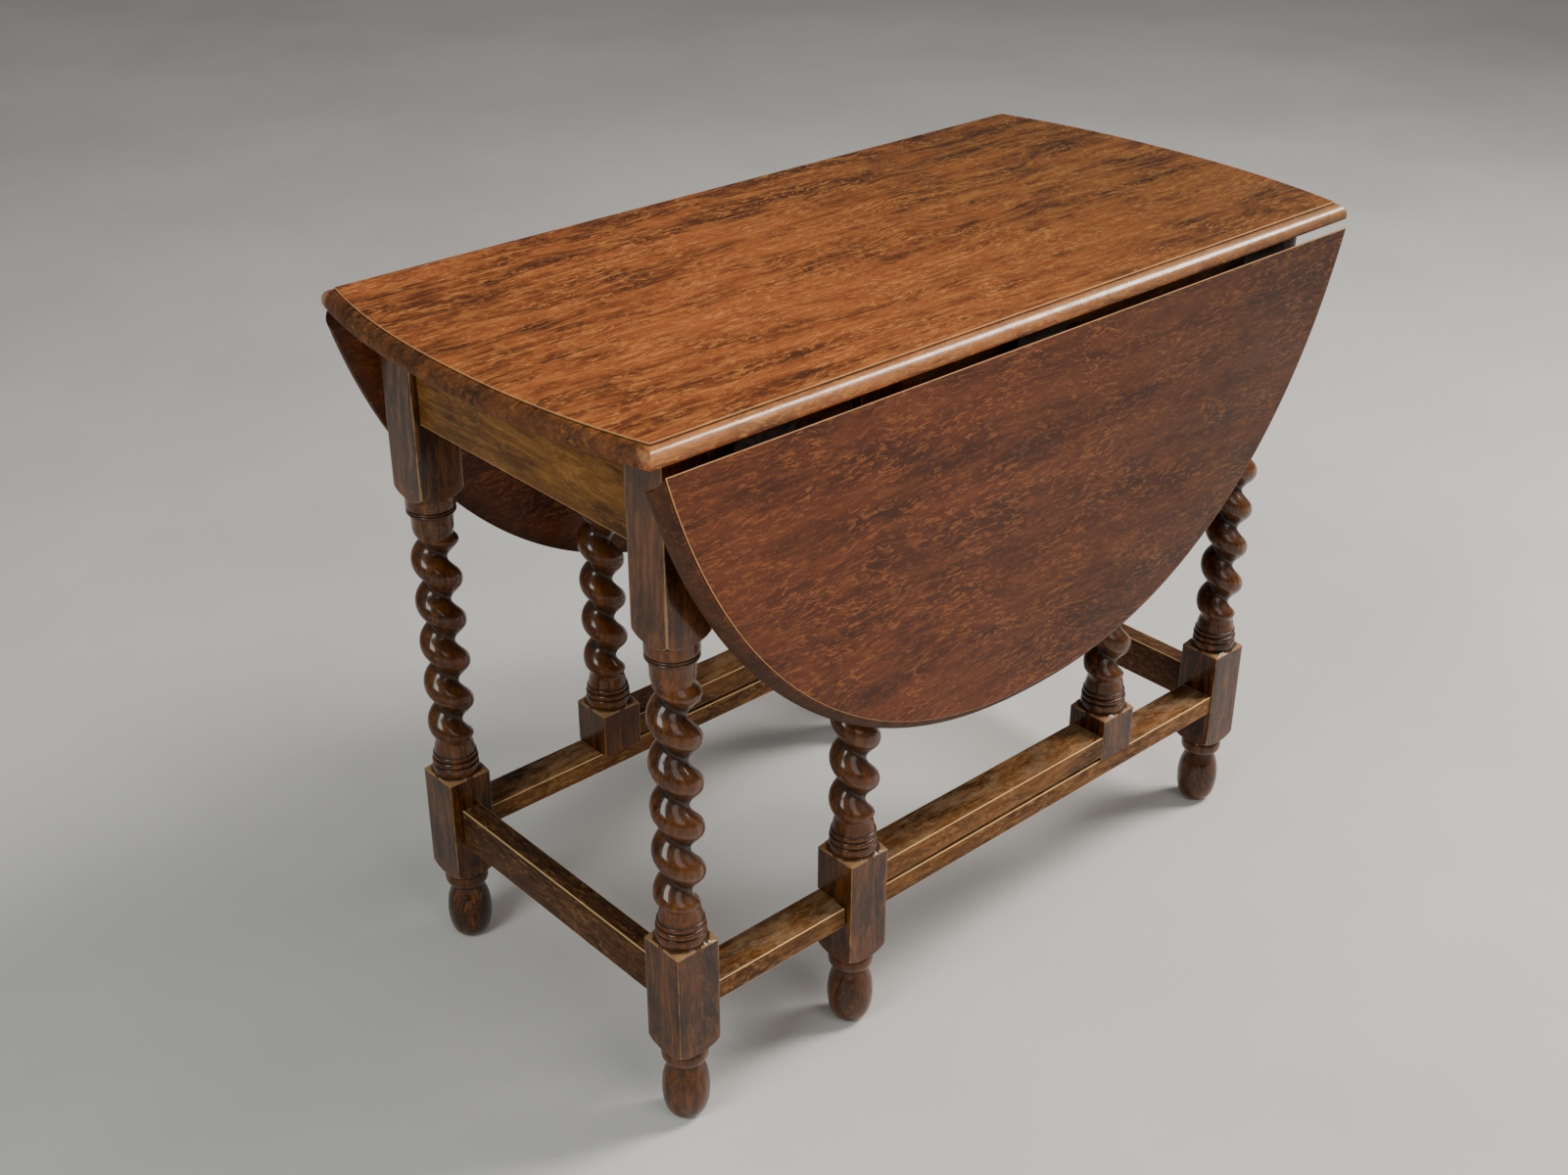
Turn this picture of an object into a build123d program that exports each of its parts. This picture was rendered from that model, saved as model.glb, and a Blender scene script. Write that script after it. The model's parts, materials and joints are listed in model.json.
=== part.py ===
from build123d import *
import math
import os

# Oak gateleg table with its two leaves hanging and both gates folded against the frame.
# Millimetres, +Z up, +X along the hinge lines, origin on the floor under the middle of the top.
# Left is -X, right is +X, front is -Y and back is +Y. The back half is the front half turned
# half a turn about Z, so the front gate pivots on the right and the back gate on the left.

# Driving dimensions
table_height = 735.0
board_thick = 18.0
half_length = 473.5          # middle of an end of the open top, to the arris of the top face
half_spread = 594.0          # middle of a leaf's curved edge, with the leaf up
outline_power = 2.2          # 2 would be an ellipse; the real oval is a little fuller
centre_half_width = 229.6    # rule joint arris of the centre board
board_joints = (-74.0, 137.0)     # glue lines of the centre top, along Y
leaf_joint = 190.0           # glue line of a leaf, from the hinge line
moulding = 11.2              # reach of the quarter round on every edge
moulding_step = 2.4          # small upright step above the quarter round

stock = 49.0                 # square stock of every leg and post
leg_x = 395.3
leg_y = 183.9
gate_reach = 382.0           # pivot post to swing leg
pivot_x = 198.0
swing_leg_proud = 5.3        # swing leg stands this far in front of the corner legs
rest_gap = 0.5               # swing leg foot above the floor, pivot post above its stretcher

apron_bottom = 611.0
apron_top = table_height - board_thick
side_apron_thick = 32.0
side_apron_face = 204.0
end_apron_thick = 20.0
end_apron_face = 412.0

side_stretcher_bottom = 137.5
side_stretcher_high = 22.0
side_stretcher_deep = 40.0
side_stretcher_face = 206.5
end_stretcher_bottom = 130.0
end_stretcher_high = 45.5
end_stretcher_thick = 22.0
end_stretcher_face = 407.5

gate_rail_high = 25.0
gate_rail_deep = 42.0
gate_rail_face = 207.5
lower_rail_bottom = 165.0
upper_rail_bottom = 580.0

tenon_long = 18.0
gate_tenon_long = 14.0
# cheek and shoulder of each tenon, taken off each side and off the top and bottom
side_apron_tenon = (10.0, 10.0)
end_apron_tenon = (5.0, 10.0)
side_stretcher_tenon = (5.0, 5.0)
end_stretcher_tenon = (6.0, 7.0)
gate_rail_tenon = (6.0, 6.5)
lap_plane = 189.0            # swing leg keeps its wood outside this plane, the rails inside it
lap_gap = 1.5
swing_leg_short = 0.6        # top of the swing leg below the board
cutter = 100.0               # size of a block that only removes wood

hinge_y = 227.4              # hinge pin, 2.4 inside the arris of the rule joint
hinge_z = 714.6
cove_radius = 18.8
lip_gap = 1.0
hinge_long = 64.0
hinge_places = (-330.0, 0.0, 330.0)
knuckle_radius = 3.0
knuckle_gap = 0.3
pin_radius = 1.5
running = 0.05
plate_thick = 2.0
frame_plate_wide = 21.0
leaf_plate_wide = 42.0

pivot_pin_radius = 6.0
pivot_pin_in_post = 28.0
pivot_pin_in_rail = 20.0

stop_long = 44.0
stop_wide = 18.0
stop_thick = 10.0
gate_open_angle = 66.0

block_size = 25.0
block_long = 70.0

# Heights of the turned leg, from the floor up
foot_widest = 35.0
foot_neck = 66.0
low_block_bottom = 98.6
low_block_top = 209.6
twist_bottom = 249.0
twist_top = 470.0
high_block_bottom = 535.0
twist_pitch = 46.7
crest_radius = 24.5
corner_radius = stock / 2 * math.sqrt(2) + 0.2
# bearing of the strand's crest at the bottom of each twist, in degrees
corner_turns = {("left", "front"): 261, ("left", "back"): 200, ("right", "front"): 60, ("right", "back"): 300}
post_turn = 250
swing_leg_turn = 20

os.makedirs("parts", exist_ok=True)


def save(piece, name):
    """Label a finished piece and write it as one STEP file."""
    piece.label = name
    export_step(piece, f"parts/{name}.step")


# Turned legs and posts
def foot_outline():
    """Half outline of the turned foot and the bottom of the lower block."""
    with BuildLine() as line:
        Polyline((0, 0), (11, 0))
        Spline((11, 0), (18.5, 8), (23.2, foot_widest), (21, 52), (16.4, foot_neck))
        Polyline((16.4, foot_neck), (18, foot_neck + 3))
        ThreePointArc((18, foot_neck + 3), (22.8, 76), (22.5, 86))
        ThreePointArc((22.5, 86), (28, 90), (corner_radius, low_block_bottom))
        Line((corner_radius, low_block_bottom), (0, low_block_bottom))
        Line((0, low_block_bottom), (0, 0))
    return line.line


def low_collar_outline(start):
    """Half outline of the lower block from height start, its flat shoulder and its collar."""
    with BuildLine() as line:
        Polyline((0, start), (corner_radius, start), (corner_radius, low_block_top), (23, 213.5))
        ThreePointArc((23, 213.5), (24, 218), (23, 222.5))
        Line((23, 222.5), (22, 223))
        ThreePointArc((22, 223), (23.8, 226.5), (22, 230))
        ThreePointArc((22, 230), (22.6, 233), (21.5, 236))
        ThreePointArc((21.5, 236), (20.5, 243), (18, twist_bottom))
        Polyline((18, twist_bottom), (0, twist_bottom), (0, start))
    return line.line


def high_collar_outline(top):
    """Half outline of the upper collar and the upper block, up to height top."""
    with BuildLine() as line:
        Polyline((0, twist_top), (22, twist_top))
        ThreePointArc((22, twist_top), (24.2, 475), (22.5, 480))
        ThreePointArc((22.5, 480), (20.4, 494), (22.5, 504))
        ThreePointArc((22.5, 504), (24.4, 506.5), (23.6, 509))
        Line((23.6, 509), (24.4, 511))
        Line((24.4, 511), (24.4, 523))
        ThreePointArc((24.4, 523), (29, 527), (corner_radius, high_block_bottom))
        Polyline((corner_radius, high_block_bottom), (corner_radius, top), (0, top), (0, twist_top))
    return line.line


def strand(start_angle):
    """Single left-handed strand: one section, round on the crest and tight in the hollow, twisted."""
    points = []
    for k in range(36):
        a = math.radians(10 * k)
        r = crest_radius - 5.85 + 6.75 * math.cos(a) - 0.9 * math.cos(2 * a)
        turn = a + math.radians(start_angle)
        points.append((r * math.cos(turn), r * math.sin(turn)))
    with BuildSketch(Plane.XY.offset(twist_bottom)) as section:
        with BuildLine():
            Spline(*points, periodic=True)
        make_face()
    rise = twist_top - twist_bottom
    return Solid.extrude_linear_with_rotation(
        section.sketch.faces()[0], (0, 0, twist_bottom), (0, 0, rise), -360 * rise / twist_pitch
    )


def turned_leg(bottom, top, start_angle):
    """Square stock turned to the outline, with the twist between the blocks; axis on Z."""
    with BuildPart() as leg:
        with BuildSketch(Plane.XY.offset(bottom)):
            Rectangle(stock, stock)
        extrude(amount=top - bottom)
        with BuildSketch(Plane.XZ):
            if bottom < low_block_bottom:
                add(make_face(foot_outline()))
                add(make_face(low_collar_outline(low_block_bottom)))
            else:
                add(make_face(low_collar_outline(bottom)))
            add(make_face(high_collar_outline(top)))
        revolve(axis=Axis.Z, mode=Mode.INTERSECT)
        add(strand(start_angle))
    return leg.part


# Rails with their tenons
def tenoned_rail(low, high, along, tenon, cheek, shoulder):
    """Rail between two opposite corners, with a tenon at each end; along is 0 for X and 1 for Y."""
    size = [b - a for a, b in zip(low, high)]
    middle = [(a + b) / 2 for a, b in zip(low, high)]
    core = list(size)
    core[along] += 2 * tenon
    core[1 - along] -= 2 * cheek
    core[2] -= 2 * shoulder
    with BuildPart() as rail:
        with Locations(tuple(middle)):
            Box(*size)
            Box(*core)
    return rail.part


leg_inside_x = leg_x - stock / 2
leg_inside_y = leg_y - stock / 2
swing_x = pivot_x - gate_reach
swing_y = -(leg_y + swing_leg_proud)
notch_wide = stock + 2 * lap_gap
side_stretcher_top = side_stretcher_bottom + side_stretcher_high
post_bottom = side_stretcher_top + rest_gap
post_top = apron_bottom - rest_gap

with BuildPart() as side_apron:
    add(tenoned_rail(
        (-leg_inside_x, -side_apron_face, apron_bottom),
        (leg_inside_x, side_apron_thick - side_apron_face, apron_top), 0, tenon_long, *side_apron_tenon,
    ))
    # open notch for the top of the swing leg, and the socket of the gate's upper pivot
    with Locations((swing_x, -lap_plane - cutter / 2, (apron_bottom + apron_top) / 2)):
        Box(notch_wide, cutter, apron_top - apron_bottom + 2, mode=Mode.SUBTRACT)
    with Locations((pivot_x, -leg_y, apron_bottom)):
        Cylinder(pivot_pin_radius + running, 2 * pivot_pin_in_rail + 2, mode=Mode.SUBTRACT)

with BuildPart() as side_stretcher:
    add(tenoned_rail(
        (-leg_inside_x, -side_stretcher_face, side_stretcher_bottom),
        (leg_inside_x, side_stretcher_deep - side_stretcher_face, side_stretcher_top),
        0, tenon_long, *side_stretcher_tenon,
    ))
    with Locations((swing_x, -lap_plane - cutter / 2, side_stretcher_top)):
        Box(notch_wide, cutter, 3 * side_stretcher_high, mode=Mode.SUBTRACT)
    with Locations((pivot_x, -leg_y, side_stretcher_top)):
        Cylinder(pivot_pin_radius + running, 2 * pivot_pin_in_rail + 1, mode=Mode.SUBTRACT)

end_apron = tenoned_rail(
    (-end_apron_face, -leg_inside_y, apron_bottom),
    (end_apron_thick - end_apron_face, leg_inside_y, apron_top), 1, tenon_long, *end_apron_tenon,
)
end_stretcher = tenoned_rail(
    (-end_stretcher_face, -leg_inside_y, end_stretcher_bottom),
    (end_stretcher_thick - end_stretcher_face, leg_inside_y, end_stretcher_bottom + end_stretcher_high),
    1, tenon_long, *end_stretcher_tenon,
)


def gate_rail(bottom):
    """Flat rail between the swing leg and the pivot post of the front gate."""
    return tenoned_rail(
        (swing_x + stock / 2, -gate_rail_face, bottom),
        (pivot_x - stock / 2, gate_rail_deep - gate_rail_face, bottom + gate_rail_high),
        0, gate_tenon_long, *gate_rail_tenon,
    )


gate_lower_rail = gate_rail(lower_rail_bottom)
gate_upper_rail = gate_rail(upper_rail_bottom)

side_rails = {"front": (side_apron.part, side_stretcher.part)}
side_rails["back"] = tuple(rail.rotate(Axis.Z, 180) for rail in side_rails["front"])
end_rails = {"left": (end_apron, end_stretcher)}
end_rails["right"] = tuple(rail.rotate(Axis.Z, 180) for rail in end_rails["left"])

for side, (apron, stretcher) in side_rails.items():
    save(apron, f"side_apron_{side}")
    save(stretcher, f"side_stretcher_{side}")
for end, (apron, stretcher) in end_rails.items():
    save(apron, f"end_apron_{end}")
    save(stretcher, f"end_stretcher_{end}")

# Corner legs
for (end, side), turn in corner_turns.items():
    x = -leg_x if end == "left" else leg_x
    y = -leg_y if side == "front" else leg_y
    with BuildPart() as corner_leg:
        with Locations((x, y)):
            add(turned_leg(0, apron_top, turn))
        for rail in side_rails[side] + end_rails[end]:
            add(rail, mode=Mode.SUBTRACT)
    save(corner_leg.part, f"corner_leg_{end}_{side}")

# Gates
with BuildPart() as pivot_pins:
    with Locations((pivot_x, -leg_y, side_stretcher_top - pivot_pin_in_rail)):
        Cylinder(pivot_pin_radius, pivot_pin_in_rail + rest_gap + pivot_pin_in_post,
                 align=(Align.CENTER, Align.CENTER, Align.MIN))
    with Locations((pivot_x, -leg_y, apron_bottom + pivot_pin_in_rail)):
        Cylinder(pivot_pin_radius, pivot_pin_in_rail + rest_gap + pivot_pin_in_post,
                 align=(Align.CENTER, Align.CENTER, Align.MAX))

with BuildPart() as pivot_post:
    with Locations((pivot_x, -leg_y)):
        add(turned_leg(post_bottom, post_top, post_turn))
    add(gate_lower_rail, mode=Mode.SUBTRACT)
    add(gate_upper_rail, mode=Mode.SUBTRACT)
    add(pivot_pins.part, mode=Mode.SUBTRACT)

# The swing leg is halved over the stretcher and over the apron.
with BuildPart() as swing_leg:
    with Locations((swing_x, swing_y)):
        add(turned_leg(rest_gap, apron_top - swing_leg_short, swing_leg_turn))
    inner_cut = -lap_plane - rest_gap + cutter / 2
    with Locations((swing_x, inner_cut, side_stretcher_bottom + side_stretcher_high / 2)):
        Box(cutter, cutter, side_stretcher_high + 2, mode=Mode.SUBTRACT)
    with Locations((swing_x, inner_cut, apron_bottom - 1)):
        Box(cutter, cutter, 2 * cutter, align=(Align.CENTER, Align.CENTER, Align.MIN), mode=Mode.SUBTRACT)
    add(gate_lower_rail, mode=Mode.SUBTRACT)
    add(gate_upper_rail, mode=Mode.SUBTRACT)

gate = {
    "swing_leg": swing_leg.part,
    "pivot_post": pivot_post.part,
    "gate_lower_rail": gate_lower_rail,
    "gate_upper_rail": gate_upper_rail,
    "pivot_pins": pivot_pins.part,
}
for name, piece in gate.items():
    save(piece, f"{name}_front")
    save(piece.rotate(Axis.Z, 180), f"{name}_back")


# Screws and hinges
def screws(places, length, slotted=True):
    """Countersunk screws standing on their heads at the given points, driven upwards."""
    head = 3.8
    shank = 1.7
    with BuildPart() as group:
        with Locations(*places):
            Cone(head, shank, plate_thick, align=(Align.CENTER, Align.CENTER, Align.MIN))
            Cylinder(shank, length - 3, align=(Align.CENTER, Align.CENTER, Align.MIN))
        with Locations(*[(x, y, z + length - 3) for x, y, z in places]):
            Cone(shank, 0.4, 3, align=(Align.CENTER, Align.CENTER, Align.MIN))
        if slotted:
            with Locations(*places):
                Box(2.2 * head, 0.9, 1.2, mode=Mode.SUBTRACT)
    return group.part


# The leaves and their hinges are made with the leaf held up.
under_board = table_height - board_thick
plate_bottom = under_board - plate_thick
knuckle_long = (hinge_long - 4 * knuckle_gap) / 5


def hinge_plates(outward, width, bore):
    """Three hinge halves; outward is -1 for the flap on the frame and 1 for the flap on the leaf."""
    own = (-1, 1) if outward > 0 else (-2, 0, 2)
    clear = knuckle_radius + 0.2
    flap_middle = -hinge_y - outward * (clear + width) / 2
    pitch = knuckle_long + knuckle_gap
    knuckles = [(x + k * pitch, -hinge_y) for x in hinge_places for k in own]
    with BuildPart() as plates:
        with Locations(*[(x, flap_middle, plate_bottom + plate_thick / 2) for x in hinge_places]):
            Box(hinge_long, width - clear, plate_thick)
        with Locations(*[(x, y - outward * clear / 2, plate_bottom + plate_thick / 2) for x, y in knuckles]):
            Box(knuckle_long, clear, plate_thick)
        with Locations(*[(x, y, hinge_z) for x, y in knuckles]):
            Cylinder(knuckle_radius, knuckle_long, rotation=(0, 90, 0))
        with Locations(*[(x, -hinge_y, hinge_z) for x in hinge_places]):
            Cylinder(bore, hinge_long + 2, rotation=(0, 90, 0), mode=Mode.SUBTRACT)
    return plates.part


with BuildPart() as hinge_pins:
    with Locations(*[(x, -hinge_y, hinge_z) for x in hinge_places]):
        Cylinder(pin_radius, hinge_long, rotation=(0, 90, 0))

frame_screw_places = [
    (x + dx, -hinge_y + 13, plate_bottom) for x in hinge_places for dx in (-20, 20)
]
leaf_screw_places = [
    (x + dx, -hinge_y - dy, plate_bottom) for x in hinge_places for dx, dy in ((-22, 24), (22, 24), (0, 34))
]
hinge_screw_long = 12.0

with BuildPart() as frame_plates:
    add(hinge_plates(-1, frame_plate_wide, pin_radius))
    add(screws(frame_screw_places, hinge_screw_long, slotted=False), mode=Mode.SUBTRACT)

with BuildPart() as leaf_plates:
    add(hinge_plates(1, leaf_plate_wide, pin_radius + running))
    add(screws(leaf_screw_places, hinge_screw_long, slotted=False), mode=Mode.SUBTRACT)


# The oval top
def oval(reach):
    """Outline of the open top, moved out along its normal by reach."""
    points = []
    for k in range(72):
        t = math.radians(5 * k)
        x = half_length * math.copysign(abs(math.cos(t)) ** (2 / outline_power), math.cos(t))
        y = half_spread * math.copysign(abs(math.sin(t)) ** (2 / outline_power), math.sin(t))
        nx = math.copysign(abs(x / half_length) ** (outline_power - 1), x) / half_length
        ny = math.copysign(abs(y / half_spread) ** (outline_power - 1), y) / half_spread
        n = math.hypot(nx, ny)
        points.append((x + reach * nx / n, y + reach * ny / n))
    with BuildSketch() as outline:
        with BuildLine():
            Spline(*points, periodic=True)
        make_face()
    return outline.sketch


step_bottom = table_height - moulding_step

with BuildPart() as oval_board:
    with BuildSketch(Plane.XY.offset(under_board)):
        add(oval(moulding))
    extrude(amount=step_bottom - under_board)
    fillet(oval_board.faces().sort_by(Axis.Z)[-1].edges(), moulding)
    extrude(oval_board.faces().sort_by(Axis.Z)[-1], amount=moulding_step)

# Section of the centre board across its rule joints: level top, step, quarter round, upright.
with BuildPart() as centre_strip:
    with BuildSketch(Plane.YZ):
        with BuildLine():
            top_corner = (centre_half_width, table_height)
            step_foot = (centre_half_width, step_bottom)
            round_foot = (centre_half_width + moulding, step_bottom - moulding)
            Polyline((0, table_height), top_corner, step_foot)
            RadiusArc(step_foot, round_foot, moulding)
            Polyline(round_foot, (round_foot[0], under_board), (0, under_board), (0, table_height))
        make_face()
        mirror(about=Plane.YZ)
    extrude(amount=2 * half_length, both=True)


def block_places():
    """Glue blocks under the top as (x, y, length along X, length along Y)."""
    side_y = side_apron_face - side_apron_thick - block_size / 2
    end_x = end_apron_face - end_apron_thick - block_size / 2
    along_sides = [(x, y, block_long, block_size) for x in (-255, 255) for y in (-side_y, side_y)]
    along_ends = [(x, y, block_size, block_long) for x in (-end_x, end_x) for y in (-90, 90)]
    return along_sides + along_ends


block_bottom = under_board - block_size
top_screw_places = [(x, y, block_bottom) for x, y, dx, dy in block_places()]
top_screw_long = 35.0
with BuildPart() as glue_blocks:
    for x, y, dx, dy in block_places():
        with Locations((x, y, block_bottom + block_size / 2)):
            Box(dx, dy, block_size)
    add(screws(top_screw_places, top_screw_long, slotted=False), mode=Mode.SUBTRACT)
save(glue_blocks.part, "glue_blocks")
save(screws(top_screw_places, top_screw_long), "top_screws")

with BuildPart() as hinge_beds:
    for x in hinge_places:
        with Locations((x, -hinge_y, under_board)):
            Box(hinge_long + 1, 7, 2.0)
        with Locations((x, -hinge_y - 10, under_board)):
            Box(hinge_long + 1, 20, 0.8)

with BuildPart() as whole_top:
    add(oval_board.part)
    add(centre_strip.part, mode=Mode.INTERSECT)
    for angle in (0, 180):
        add(hinge_beds.part.rotate(Axis.Z, angle), mode=Mode.SUBTRACT)
        cut = screws(frame_screw_places, hinge_screw_long, slotted=False)
        add(cut.rotate(Axis.Z, angle), mode=Mode.SUBTRACT)
    add(screws(top_screw_places, top_screw_long, slotted=False), mode=Mode.SUBTRACT)

board_edges = (-300.0,) + board_joints + (300.0,)
for name, low, high in zip(("front", "middle", "back"), board_edges, board_edges[1:]):
    with BuildPart() as board:
        add(whole_top.part)
        with Locations((0, (low + high) / 2, table_height)):
            Box(4 * half_length, high - low, 4 * board_thick, mode=Mode.INTERSECT)
    save(board.part, f"top_board_{name}")

# Leaves, hung from the hinge line at the end
lip = -(centre_half_width + lip_gap)
open_angle = math.radians(gate_open_angle)
outward = (math.sin(open_angle), -math.cos(open_angle))
stop_away = -swing_y + stock / 2 - leg_y + rest_gap + stop_wide / 2
stop_x = pivot_x - gate_reach * math.cos(open_angle) + stop_away * outward[0]
stop_y = -leg_y - gate_reach * math.sin(open_angle) + stop_away * outward[1]
stop_screw_places = [
    (stop_x + k * 12 * math.cos(open_angle), stop_y + k * 12 * math.sin(open_angle), under_board - stop_thick)
    for k in (-1, 1)
]
stop_screw_long = 20.0

with BuildPart() as leaf_stop:
    with Locations(Location((stop_x, stop_y, under_board - stop_thick / 2), (0, 0, gate_open_angle))):
        Box(stop_long, stop_wide, stop_thick)
    add(screws(stop_screw_places, stop_screw_long, slotted=False), mode=Mode.SUBTRACT)

with BuildPart() as whole_leaf:
    add(oval_board.part)
    with Locations((0, lip, table_height)):
        Box(4 * half_length, 2 * half_spread, 4 * board_thick,
            align=(Align.CENTER, Align.MAX, Align.CENTER), mode=Mode.INTERSECT)
    with Locations((0, -hinge_y, hinge_z)):
        Cylinder(cove_radius, 3 * half_length, rotation=(0, 90, 0), mode=Mode.SUBTRACT)
    add(screws(leaf_screw_places, hinge_screw_long, slotted=False), mode=Mode.SUBTRACT)
    add(screws(stop_screw_places, stop_screw_long, slotted=False), mode=Mode.SUBTRACT)

leaf_halves = {}
leaf_edges = (-2 * half_spread, -hinge_y - leaf_joint, 0)
for name, low, high in zip(("outer", "inner"), leaf_edges, leaf_edges[1:]):
    with BuildPart() as board:
        add(whole_leaf.part)
        with Locations((0, (low + high) / 2, table_height)):
            Box(4 * half_length, high - low, 4 * board_thick, mode=Mode.INTERSECT)
    leaf_halves[name] = board.part

leaf = {
    "leaf_inner_board": leaf_halves["inner"],
    "leaf_outer_board": leaf_halves["outer"],
    "leaf_hinge_plates": leaf_plates.part,
    "leaf_hinge_screws": screws(leaf_screw_places, hinge_screw_long),
    "leaf_stop": leaf_stop.part,
    "leaf_stop_screws": screws(stop_screw_places, stop_screw_long),
}
hinge_line = Axis((0, -hinge_y, hinge_z), (1, 0, 0))
for name, piece in leaf.items():
    hung = piece.rotate(hinge_line, 90)
    save(hung, f"{name}_front")
    save(hung.rotate(Axis.Z, 180), f"{name}_back")

frame_hinge = {
    "frame_hinge_plates": frame_plates.part,
    "frame_hinge_screws": screws(frame_screw_places, hinge_screw_long),
    "hinge_pins": hinge_pins.part,
}
for name, piece in frame_hinge.items():
    save(piece, f"{name}_front")
    save(piece.rotate(Axis.Z, 180), f"{name}_back")
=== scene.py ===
import json
import math
import bmesh
import bpy
import numpy as np
from mathutils import Matrix, Vector


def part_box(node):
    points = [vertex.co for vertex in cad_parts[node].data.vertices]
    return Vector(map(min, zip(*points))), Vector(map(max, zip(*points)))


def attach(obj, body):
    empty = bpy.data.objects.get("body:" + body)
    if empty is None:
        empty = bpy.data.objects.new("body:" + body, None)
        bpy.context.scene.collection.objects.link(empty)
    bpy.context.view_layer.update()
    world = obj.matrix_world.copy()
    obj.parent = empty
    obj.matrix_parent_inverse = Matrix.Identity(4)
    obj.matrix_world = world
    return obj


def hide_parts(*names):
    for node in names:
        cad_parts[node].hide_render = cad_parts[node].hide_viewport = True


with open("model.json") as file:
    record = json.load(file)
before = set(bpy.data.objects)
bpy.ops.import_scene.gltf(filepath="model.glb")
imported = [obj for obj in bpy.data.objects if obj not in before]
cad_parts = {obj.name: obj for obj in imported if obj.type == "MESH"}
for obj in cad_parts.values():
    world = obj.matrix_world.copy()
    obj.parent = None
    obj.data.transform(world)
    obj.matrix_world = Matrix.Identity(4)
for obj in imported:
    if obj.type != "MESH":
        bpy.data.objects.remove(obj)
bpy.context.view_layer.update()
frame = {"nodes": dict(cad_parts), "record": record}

mm = 0.001
nodes = frame["nodes"]


# camera first, it never depends on the rest
view = {
    "place": (-1.2512, -1.2765, 1.3324),
    "pitch": 61.30,     # degrees up from straight down
    "turn": -41.94,
    "lens": 44.13,
}
cameraData = bpy.data.cameras.new("camera")
cameraData.lens = view["lens"]
cameraData.sensor_width = 36.0
camera = bpy.data.objects.new("camera", cameraData)
camera.location = view["place"]
camera.rotation_euler = (math.radians(view["pitch"]), 0.0, math.radians(view["turn"]))
bpy.context.scene.collection.objects.link(camera)
bpy.context.scene.camera = camera
print("camera set")


# small helpers for node trees
# add one node, set its properties, and link or set its inputs by index or name
def addNode(tree, kind, inputs=None, **settings):
    node = tree.nodes.new(kind)
    for key, value in settings.items():
        setattr(node, key, value)
    for key, value in (inputs or {}).items():
        if isinstance(value, bpy.types.NodeSocket):
            tree.links.new(value, node.inputs[key])
        else:
            node.inputs[key].default_value = value
    return node


# one math node; values are numbers or sockets
def calc(tree, operation, *values, clamp=False):
    return addNode(tree, "ShaderNodeMath", dict(enumerate(values)), operation=operation, use_clamp=clamp).outputs[0]


def newGroup(name, kind, ins, outs):
    group = bpy.data.node_groups.new(name, kind)
    for label, socketKind, value in ins:
        socket = group.interface.new_socket(name=label, in_out="INPUT", socket_type=socketKind)
        if value is not None:
            socket.default_value = value
    for label, socketKind in outs:
        group.interface.new_socket(name=label, in_out="OUTPUT", socket_type=socketKind)
    return group, group.nodes.new("NodeGroupInput").outputs, group.nodes.new("NodeGroupOutput").inputs


# map Range, smooth and clamped
def ease(tree, value, low, high, toLow=0.0, toHigh=1.0):
    return addNode(tree, "ShaderNodeMapRange", {0: value, 1: low, 2: high, 3: toLow, 4: toHigh},
                   interpolation_type="SMOOTHSTEP").outputs[0]


# place with the grain (X) drawn out
def stretch(tree, place, along, across, shift=0.0):
    return addNode(tree, "ShaderNodeMapping", {0: place, 1: (shift, shift, shift), 3: (along, across, across)}).outputs[0]


def noise(tree, place, detail=3.0, rough=0.55, twist=0.0):
    return addNode(tree, "ShaderNodeTexNoise", {"Vector": place, "Scale": 1.0, "Detail": detail,
                                                "Roughness": rough, "Distortion": twist}).outputs[0]


def mixColour(tree, amount, first, second):
    return addNode(tree, "ShaderNodeMix", {0: amount, 6: first, 7: second}, data_type="RGBA").outputs[2]


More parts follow.
